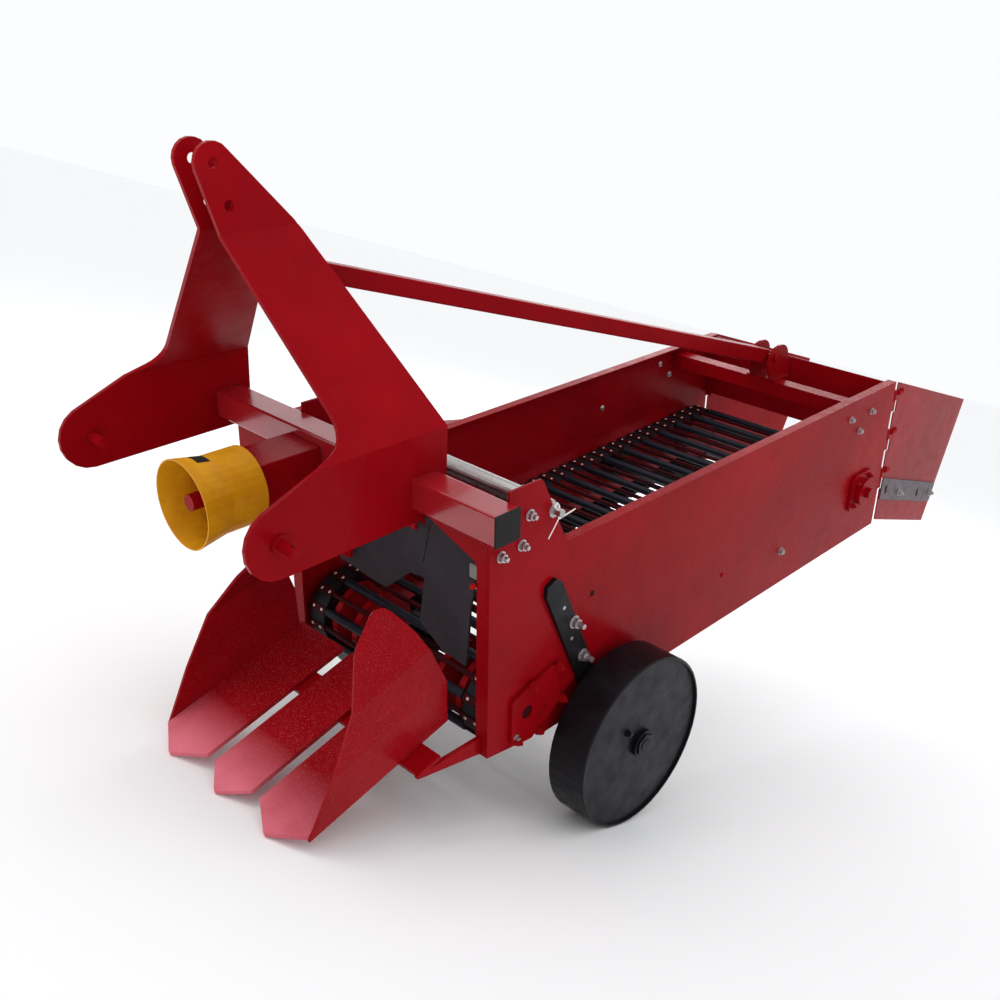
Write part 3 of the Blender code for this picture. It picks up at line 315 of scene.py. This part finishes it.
# lighter, more orange copy of the enamel: a painted highlight for the curtain's bolt, which catches the light
PAINTED_LIT_RED = paint(
    "red_enamel_painted_lit", (0.60, 0.020, 0.010), (0.42, 0.008, 0.006), rough=0.30, edge=0.0006
)
BLACK = paint(
    "black_enamel", (0.0045, 0.0038, 0.0050), (0.0025, 0.0022, 0.0030),
    rough=0.40, dust=0.04, level=0.22, tint=(0.8, 0.75, 0.85),
)
ZINC = metal("zinc", (0.50, 0.46, 0.47), 0.30, amount=0.7)
BAR_ZINC = metal("zinc_bar", (0.155, 0.125, 0.138), 0.42, (0.10, 0.07, 0.07), 0.5)
STEEL = metal("bare_steel", (0.46, 0.44, 0.44), 0.24, amount=0.35)
RIVET = metal("rivet", (0.66, 0.50, 0.47), 0.35, amount=0.3)
BRIGHT = metal("bright_wire", (0.86, 0.80, 0.80), 0.20, amount=0.1)
# near black: painted shade inside holes and slots, and the colour of the curtain's dark seam
DARK = rubber("hole_shade_and_seam", (0.003, 0.002, 0.002), (0.005, 0.003, 0.003), 0.7)
SLEEVE = rubber("sleeve_rubber", (0.0065, 0.0075, 0.0140), (0.014, 0.015, 0.026), 0.40)
BELT_FACE = rubber("belt_rubber", (0.0050, 0.0045, 0.0065), (0.012, 0.009, 0.011), 0.55)
CURTAIN = rubber(
    "curtain_rubber", (0.0175, 0.0140, 0.0190), (0.034, 0.027, 0.035), 0.60, fine=220.0, sheen=0.05
)
PATCH = rubber("curtain_patch", (0.16, 0.15, 0.14), (0.22, 0.21, 0.19), 0.7)
PLUG = rubber("plug_plastic", (0.006, 0.005, 0.006), (0.014, 0.012, 0.013), 0.5)
YELLOW = rubber("guard_plastic", (0.60, 0.250, 0.004), (0.78, 0.38, 0.006), 0.34, fine=60.0)

SLOTS = {
    "red_paint": RED,
    "black_paint": BLACK,
    "zinc_plate": ZINC,
    "bare_steel": STEEL,
    "web_rubber": BELT_FACE,
    "curtain_rubber": CURTAIN,
    "guard_plastic": YELLOW,
    "plug_plastic": PLUG,
}
BY_NODE = {
    "wing_left": BLADE,
    "wing_right": BLADE,
    "share_left": SHARE_RED,
    "share_centre": SHARE_RED,
    "share_right": SHARE_RED,
    "front_beam": PAINTED_SHEEN_RED,
    "front_web_roller": DULL_RED,
    "flap_bar_left": BAR_ZINC,
    "flap_bar_right": BAR_ZINC,
}


def finish_nodes():
    """Gives each CAD node its slot's material, or its own where its finish differs."""
    for part in frame["record"]["subparts"]:
        node = frame["nodes"][part["node"]]
        node.data.materials.clear()
        node.data.materials.append(BY_NODE.get(part["node"], SLOTS[part["material_slot"]]))


# ---------------------------------------------------------------- building pieces
def add_piece(name, bm, material, body, matrix=BOX, smooth=40.0):
    mesh = bpy.data.meshes.new(name)
    bmesh.ops.recalc_face_normals(bm, faces=bm.faces)
    bm.to_mesh(mesh)
    bm.free()
    mesh.shade_smooth()
    mesh.set_sharp_from_angle(angle=radians(smooth))
    mesh.materials.append(material)
    made = bpy.data.objects.new(name, mesh)
    bpy.context.scene.collection.objects.link(made)
    made.matrix_world = matrix
    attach(made, body)
    return made


def add_and_slot(name, bm, material, body="frame", matrix=BOX):
    made = add_piece(name, bm, material, body, matrix)
    return made


def box_corners(side, near, far, y, z, half_y, half_z):
    """Corners of a thin block on a side face: near and far are its distances from the middle."""
    low = min(side * near, side * far)
    high = max(side * near, side * far)
    return (low, y - half_y, z - half_z), (high, y + half_y, z + half_z)


def cylinder(bm, start, end, radius, sides=20, radius_end=None):
    start = Vector(start)
    along = Vector(end) - start
    turn = along.to_track_quat("Z", "Y").to_matrix().to_4x4()
    place = Matrix.Translation(start + along / 2) @ turn
    bmesh.ops.create_cone(
        bm, cap_ends=True, segments=sides, radius1=radius,
        radius2=radius if radius_end is None else radius_end, depth=along.length, matrix=place,
    )


def ball(bm, centre, radius, flat=1.0, axis=(1, 0, 0)):
    turn = Vector(axis).to_track_quat("Z", "Y").to_matrix().to_4x4()
    place = Matrix.Translation(Vector(centre)) @ turn @ Matrix.Scale(flat, 4, (0, 0, 1))
    bmesh.ops.create_uvsphere(bm, u_segments=10, v_segments=6, radius=radius, matrix=place)


def slab(bm, low, high, bevel=0.0):
    low, high = Vector(low), Vector(high)
    place = Matrix.Translation((low + high) / 2) @ Matrix.Diagonal((*(high - low), 1.0))
    made = bmesh.ops.create_cube(bm, size=1.0, matrix=place)
    if bevel:
        edges = list({edge for vert in made["verts"] for edge in vert.link_edges})
        bmesh.ops.bevel(bm, geom=edges, offset=bevel, segments=2, affect="EDGES")


WASHER = 0.0018


def bolt(bm, foot, axis, size, stub=0.008):
    """Hexagon nut on its washer with the bolt's end standing out; foot is on the face."""
    foot = Vector(foot)
    axis = Vector(axis).normalized()
    base = foot + axis * WASHER
    cylinder(bm, foot, base, size * 1.05, 20)
    cylinder(bm, base, base + axis * size * 0.75, size * 0.86, 6, size * 0.82)
    cylinder(bm, base, base + axis * (size * 0.75 + stub), size * 0.48, 12, size * 0.42)


def round_head(bm, foot, axis, size):
    """Domed head on a short rim; foot is on the face."""
    foot = Vector(foot)
    axis = Vector(axis).normalized()
    cylinder(bm, foot, foot + axis * size * 0.30, size, 16, size * 0.95)
    ball(bm, foot + axis * size * 0.30, size * 0.92, 0.45, axis)


WELD_SIDES = 6
WELD_STEP = 0.002


def weld(bm, points, radius=0.0035):
    """Rippled bead along a line."""
    points = [Vector(p) for p in points]
    rings = []
    for a, b in zip(points, points[1:]):
        steps = max(2, int((b - a).length / WELD_STEP))
        turn = (b - a).to_track_quat("Z", "Y").to_matrix()
        for k in range(steps):
            at = a.lerp(b, k / steps)
            swell = radius * (0.85 + 0.18 * cos(len(rings) * pi) + 0.12 * noise.noise(at * 60))
            angles = [2 * pi * j / WELD_SIDES for j in range(WELD_SIDES)]
            ring = [at + turn @ Vector((swell * cos(t), swell * sin(t), 0)) for t in angles]
            rings.append([bm.verts.new(p) for p in ring])
    for first, second in zip(rings, rings[1:]):
        for j in range(WELD_SIDES):
            following = (j + 1) % WELD_SIDES
            bm.faces.new((first[j], first[following], second[following], second[j]))
    bm.faces.new(rings[0])
    bm.faces.new(list(reversed(rings[-1])))


def ring_points(centre, radius, count=24):
    x, y, z = centre
    turns = [2 * pi * k / count for k in range(count + 1)]
    return [(x, y + radius * cos(t), z + radius * sin(t)) for t in turns]


def wire(bm, points, radius):
    for a, b in zip(points, points[1:]):
        cylinder(bm, a, b, radius, 8)
        ball(bm, b, radius)


# ---------------------------------------------------------------- web
def web_path(offset, steps=12):
    """Loop round both rollers, as (y, z), lying offset inside the belts' outer face."""
    front_r = FRONT_R - offset
    rear_r = REAR_R - offset
    dy = REAR_AXIS[0] - FRONT_AXIS[0]
    dz = REAR_AXIS[1] - FRONT_AXIS[1]
    slope = atan2(dz, dy)
    lean = (front_r - rear_r) / hypot(dy, dz)
    out = []
    for k in range(steps + 1):
        a = slope + pi / 2 - lean + (pi + 2 * lean) * k / steps
        out.append((FRONT_AXIS[0] + front_r * cos(a), FRONT_AXIS[1] + front_r * sin(a)))
    for k in range(steps + 1):
        a = slope - pi / 2 + lean + (pi - 2 * lean) * k / steps
        out.append((REAR_AXIS[0] + rear_r * cos(a), REAR_AXIS[1] + rear_r * sin(a)))
    return out


def along_path(points, count):
    """Points at equal spacing round the loop with the outward normal at each."""
    closed = points + points[:1]
    lengths = [hypot(b[0] - a[0], b[1] - a[1]) for a, b in zip(closed, closed[1:])]
    step = sum(lengths) / count
    out = []
    travelled = 0.0
    target = step / 2
    for a, b, length in zip(closed, closed[1:], lengths):
        while target <= travelled + length and len(out) < count:
            t = (target - travelled) / length
            normal = Vector((0.0, -(b[1] - a[1]), b[0] - a[0])).normalized()
            out.append((Vector((0.0, a[0] + (b[0] - a[0]) * t, a[1] + (b[1] - a[1]) * t)), -normal))
            target += step
        travelled += length
    return out


def belts():
    bm = bmesh.new()
    outer, inner = web_path(BELT_SKIN, 24), web_path(BELT, 24)
    for low, high in ((BELT_IN, BELT_OUT), (-BELT_OUT, -BELT_IN)):
        loops = []
        for path, x in ((outer, low), (outer, high), (inner, high), (inner, low)):
            loops.append([bm.verts.new((x, y, z)) for y, z in path])
        for a, b in zip(loops, loops[1:] + loops[:1]):
            for k in range(len(a)):
                j = (k + 1) % len(a)
                bm.faces.new((a[k], a[j], b[j], b[k]))
    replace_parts(add_and_slot("web_belts", bm, BELT_FACE), "web_loop")


def clip(bm, rivets, at, across, run, out, side):
    """Flat end of a rod on its belt, with its two rivets."""
    plate = bmesh.ops.create_cube(bm, size=1.0)
    turn = Matrix((across, run, out)).transposed().to_4x4()
    centre = at + across * side * (BELT_IN + BELT_OUT) / 2 + out * (BELT / 2 + 0.0005)
    place = Matrix.Translation(centre) @ turn @ Matrix.Diagonal((*CLIP, 1.0))
    bmesh.ops.transform(bm, matrix=place, verts=plate["verts"])
    for u in (-RIVET_APART, RIVET_APART):
        head = at + across * (side * (BELT_IN + BELT_OUT) / 2 + u) + out * (BELT / 2 + 0.002)
        ball(rivets, head, RIVET_R, 0.5, out)


def rods():
    """Sleeved and bare rods by turns round the loop."""
    middle = web_path(BELT / 2)
    closed = middle + middle[:1]
    total = sum(hypot(b[0] - a[0], b[1] - a[1]) for a, b in zip(closed, closed[1:]))
    count = 2 * round(total / ROD_PITCH)
    across = Vector((1, 0, 0))
    sleeves, bare, rivets = bmesh.new(), bmesh.new(), bmesh.new()
    for k, (at, out) in enumerate(along_path(middle, count)):
        run = across.cross(out)
        if k % 2 == 0:
            reach = across * (BELT_IN - 0.006)
            cylinder(sleeves, at - reach, at + reach, SLEEVE_R, 14)
            for side in (-1, 1):
                start = at + across * side * (BELT_IN - 0.008)
                cylinder(bare, start, start + across * side * ROD_END, ROD_END_R, 8)
        else:
            cylinder(bare, at - across * BELT_IN, at + across * BELT_IN, BARE_R, 10)
        for side in (-1, 1):
            clip(bare, rivets, at, across, run, out, side)
    add_and_slot("web_sleeves", sleeves, SLEEVE)
    add_and_slot("web_bare_rods", bare, DULL_RED)
    add_and_slot("web_rivets", rivets, RIVET)


# ---------------------------------------------------------------- bolts of the box
def fasteners():
    zinc, red = bmesh.new(), bmesh.new()
    for side in (1, -1):
        out = Vector((side, 0, 0))
        for place in BEAM_BOLTS:
            bolt(zinc, (side * PLATE_OUT, *place), out, 0.0115)
        for place in ARM_BOLTS:
            bolt(zinc, (side * ARM_OUT, *place), out, 0.014, stub=0.016)
        for place in CROSS_BOLTS:
            bolt(zinc, (side * HALF, *place), out, 0.009, stub=0.004)
        bolt(zinc, (side * HALF, *PANEL_BOLT), out, 0.010, stub=0.003)
        bolt(zinc, (side * PLATE_OUT, *LOW_PLATE_BOLT), out, 0.010)
        for place in ROLLER_BOLTS:
            bolt(red, (side * (PLATE_OUT + BEARING), *place), out, 0.010, stub=0.006)
        for dy in (-BEARING_BOLT, BEARING_BOLT):
            for dz in (-BEARING_BOLT, BEARING_BOLT):
                foot = (side * (HALF + BEARING), REAR_AXIS[0] + dy, REAR_AXIS[1] + dz)
                bolt(red, foot, out, 0.009, stub=0.005)
    add_and_slot("bolts_zinc", zinc, ZINC)
    add_and_slot("bolts_painted", red, BRIGHT_RED)


# ---------------------------------------------------------------- flaps' bars and hinges
def flap_trim():
    """Bolts and slots of each flap's bar, and the lumpy welds of its hinge eyes."""
    for name, side in (("l", 1), ("r", -1)):
        hinge = Matrix.Translation((side * HINGE.x, HINGE.y, 0.0))
        place = BOX @ hinge @ Matrix.Rotation(side * FLAP_IN, 4, "Z")
        zinc, dark, red = bmesh.new(), bmesh.new(), bmesh.new()
        out = Vector((side, 0, 0))
        for y, z in FLAP_BOLTS:
            bolt(zinc, (side * BAR_FACE, y, z), out, 0.0105, stub=0.006)
        # slots drawn as thin black slabs on the bar: painted shade in place of the openings
        for y, z in FLAP_SLOTS:
            slab(dark, *box_corners(side, BAR_FACE - 0.002, BAR_FACE + 0.0004, y, z, 0.006, 0.012))
        for z in FLAP_WELDS:
            for k in range(7):
                wobble = noise.noise(Vector((k * 3.1, z * 90, side)))
                centre = (side * (FLAP_FACE + 0.001), 0.012 + 0.0035 * k, z + 0.006 + 0.008 * wobble)
                ball(red, centre, 0.007)
            round_head(red, (side * FLAP_FACE, 0.030, z + 0.004), out, 0.007)
        body = "flap_" + name
        add_and_slot("flap_bolts_" + name, zinc, ZINC, body, place)
        add_and_slot("flap_slots_" + name, dark, DARK, body, place)
        add_and_slot("flap_welds_" + name, red, BRIGHT_RED, body, place)


# ---------------------------------------------------------------- pins, holes and beads
PIN_HOLE_R = 0.0032
PIN_WELD_R = 0.0125
TUBE_WASHER_R = 0.015
ARM_HOLE_R = 0.0042
GEARBOX_BOLTS = ((0.077, 0.040), (-0.072, 0.040), (0.077, -0.080), (-0.072, -0.080))


def link_pin(dark, red, side):
    """Black cylinder standing for the hole through the end of a lower hitch pin as painted shade, and the bead
    round its foot.
    """
    y, z = LINK_PIN
    x = HITCH_X + side * (LINK_HALF + 0.039)
    cylinder(dark, (x, y, z - 0.010), (x, y, z + 0.0115), PIN_HOLE_R, 14)
    weld(red, ring_points((HITCH_X + side * LINK_HALF, y, z), PIN_WELD_R), 0.0026)


def split_pin(bright, side):
    """Bent wire through the end of the curtain's tube."""
    x = side * SPLIT_PIN_X
    wire(bright, [(x, *place) for place in SPLIT_EYE], SPLIT_R)
    for *near, end in SPLIT_LEGS:
        legs = [(x, *place) for place in near]
        wire(bright, [*legs, (x + side * SPLIT_SPREAD, *end)], SPLIT_R)


def pins():
    dark, bright, red, zinc = bmesh.new(), bmesh.new(), bmesh.new(), bmesh.new()
    for side in (1, -1):
        link_pin(dark, red, side)
    for side in (1, -1):
        split_pin(bright, side)
        tube = (side * PLATE_OUT, *TUBE_END)
        cylinder(zinc, tube, (side * (PLATE_OUT + 0.002), *TUBE_END), TUBE_WASHER_R, 24)
        # spare holes of the wheel arm, filled with bright zinc discs: painted light showing through them
        for y, z in ARM_HOLES:
            face = side * ARM_OUT
            cylinder(zinc, (face - side * MARK, y, z), (face + side * 0.0006, y, z), ARM_HOLE_R, 14)
        # small hole in the panel as a black square of painted shade, with a streak under it, and a round head
        # further back
        slab(dark, *box_corners(side, HALF - MARK, HALF + 0.0004, *SMALL_HOLE, 0.006, 0.006), 0.001)
        slab(red, *box_corners(side, HALF - MARK, HALF + 0.0008, *SMALL_STREAK, 0.009, 0.003), 0.001)
        round_head(red, (side * HALF, *PANEL_HEAD), Vector((side, 0, 0)), 0.006)
        # bolts that show inside the box
        for place in INNER_BOLTS:
            round_head(zinc, (side * (HALF - 0.004), *place), Vector((-side, 0, 0)), 0.009)
    for x, z in GEARBOX_BOLTS:
        bolt(red, (HITCH_X + x, BEAM_FRONT - 0.0006, z), FORWARD, 0.010, stub=0.004)
    add_and_slot("pin_holes", dark, DARK)
    add_and_slot("split_pins", bright, BRIGHT)
    add_and_slot("small_red_marks", red, BRIGHT_RED)
    add_and_slot("small_zinc_bolts_and_hole_light", zinc, ZINC)


def hub_trim():
    """Nut on each hub with one small bolt in the wheel's disc."""
    for name, side in (("l", 1), ("r", -1)):
        bm = bmesh.new()
        y, z = WHEEL_LOCAL.y, WHEEL_LOCAL.z
        out = Vector((side, 0, 0))
        bolt(bm, (side * WHEEL_BOLT_X, y - 0.050, z + 0.050), out, 0.009, stub=0.002)
        cylinder(bm, (side * HUB_NUT[0], y, z), (side * HUB_NUT[1], y, z), HUB_NUT_R, 6)
        add_and_slot("hub_nut_" + name, bm, BLACK, "wheel_" + name)


def beads():
    """Welds of the beam to the hitch plates and to the front plates."""
    red = bmesh.new()
    for side in (1, -1):
        for face in (LINK_HALF, LINK_HALF - HITCH_PLATE):
            x = HITCH_X + side * face
            weld(red, [(x, BEAM_FRONT, BEAM_LOW), (x, BEAM_FRONT, BEAM_TOP), (x, BEAM_REAR, BEAM_TOP)])
        plate = side * PLATE_OUT
        under = BEAM_LOW - 0.001
        weld(red, [(plate, BEAM_FRONT, under), (plate, BEAM_REAR, under)], 0.0028)
        weld(red, [(plate, BEAM_REAR, BEAM_TOP), (plate, BEAM_REAR, BEAM_LOW)], 0.0028)
    add_and_slot("weld_beads", red, RED)


def curtain_trim():
    """Pale patch, a seam and one bolt with a painted highlight on the front of the curtain."""
    pale, seam, red = bmesh.new(), bmesh.new(), bmesh.new()
    slab(pale, (0.262, -1.6020, -0.012), (0.2825, -1.5965, 0.018), 0.0008)
    wire(seam, [(x, CURTAIN_FACE, z) for x, z in SEAM], 0.0011)
    # the bolt takes the lighter enamel as a painted highlight
    bolt(red, (0.276, -1.6030, -0.026), FORWARD, 0.006, stub=0.003)
    add_and_slot("curtain_patch", pale, PATCH)
    add_and_slot("curtain_seam", seam, DARK)
    add_and_slot("curtain_bolt", red, PAINTED_LIT_RED)


STICKER_ENDS = (-1.852, -1.880)
STICKER_ANGLES = [radians(78 + 4 * k) for k in range(7)]


def guard_patch():
    """Blank dark sticker on the guard's flared top."""
    bm = bmesh.new()
    rings = []
    for y in STICKER_ENDS:
        flare = (GUARD_BEND - y) / (GUARD_BEND - GUARD_END)
        radius = GUARD_REAR_R + (GUARD_FRONT_R - GUARD_REAR_R) * flare
        for lift in (0.0006, -0.0010):
            r = radius + lift
            ring = [(HITCH_X + r * cos(a), y, GEARBOX_Z + r * sin(a)) for a in STICKER_ANGLES]
            rings.append([bm.verts.new(p) for p in ring])
    outer_back, inner_back, outer_front, inner_front = rings
    around = (outer_back, outer_front, inner_front, inner_back)
    last = len(STICKER_ANGLES) - 1
    for a, b in zip(around, around[1:] + around[:1]):
        for k in range(last):
            bm.faces.new((a[k], a[k + 1], b[k + 1], b[k]))
    for k in (0, last):
        bm.faces.new((outer_back[k], outer_front[k], inner_front[k], inner_back[k]))
    add_and_slot("guard_sticker", bm, PLUG)


HUBS = (-0.205, -0.135, 0.135, 0.205)
HUB_HALF = 0.008
HUB_R = FRONT_R - 0.0135


def roller_hubs():
    """Red hubs of the front roller, which show between the rods."""
    red = bmesh.new()
    for x in HUBS:
        cylinder(red, (x - HUB_HALF, *FRONT_AXIS), (x + HUB_HALF, *FRONT_AXIS), HUB_R, 32)
    add_and_slot("roller_hubs", red, BRIGHT_RED)


# ---------------------------------------------------------------- floor, light and camera
FLOOR = 600.0
LENS = 40.48
CAMERA = Vector((1.5888, -2.8898, 1.0373))
CAMERA_RIGHT = Vector((0.7121, 0.7019, 0.0164))
CAMERA_FORWARD = Vector((-0.6278, 0.6470, -0.4329))


def floor():
    bpy.ops.mesh.primitive_plane_add(size=FLOOR, location=(0.0, 0.0, 0.0))
    plane = bpy.context.active_object
    plane.name = "floor"
    made, _, shader = new_material("floor")
    shader.inputs["Base Color"].default_value = (0.95, 0.95, 0.95, 1.0)
    shader.inputs["Roughness"].default_value = 0.9
    plane.data.materials.append(made)


def colour_settings():
    """Plain colours: the default view transform washes this red out to pink."""
    bpy.context.scene.view_settings.view_transform = "Standard"
    bpy.context.scene.view_settings.look = "None"


def area(name, place, target, size, power):
    light = bpy.data.lights.new(name, "AREA")
    light.shape = "DISK"
    light.size = size
    light.energy = power
    made = bpy.data.objects.new(name, light)
    bpy.context.scene.collection.objects.link(made)
    made.location = place
    made.rotation_euler = (Vector(target) - Vector(place)).to_track_quat("-Z", "Y").to_euler()


def studio():
    world = bpy.data.worlds.new("studio")
    bpy.context.scene.world = world
    world.use_nodes = True
    back = world.node_tree.nodes["Background"]
    back.inputs["Color"].default_value = (0.97, 0.98, 1.0, 1.0)
    back.inputs["Strength"].default_value = 1.0
    area("key", (-1.2, -2.6, 4.6), (0.0, -0.2, 0.5), 2.6, 45.0)
    area("rear", (-2.2, 3.8, 2.8), (-2.2, 3.799, 0.0), 3.0, 70.0)


def camera():
    """The photograph's viewpoint, in the digger's own frame."""
    data = bpy.data.cameras.new("camera")
    data.lens = LENS
    data.sensor_width = 36.0
    made = bpy.data.objects.new("camera", data)
    bpy.context.scene.collection.objects.link(made)
    right = CAMERA_RIGHT.normalized()
    forward = CAMERA_FORWARD.normalized()
    up = right.cross(forward).normalized()
    right = forward.cross(up).normalized()
    turn = Matrix((right, up, -forward)).transposed().to_4x4()
    made.matrix_world = BOX @ Matrix.Translation(CAMERA) @ turn
    bpy.context.scene.camera = made


finish_nodes()
belts()
rods()
fasteners()
flap_trim()
pins()
hub_trim()
beads()
curtain_trim()
guard_patch()
roller_hubs()
floor()
colour_settings()
studio()
camera()
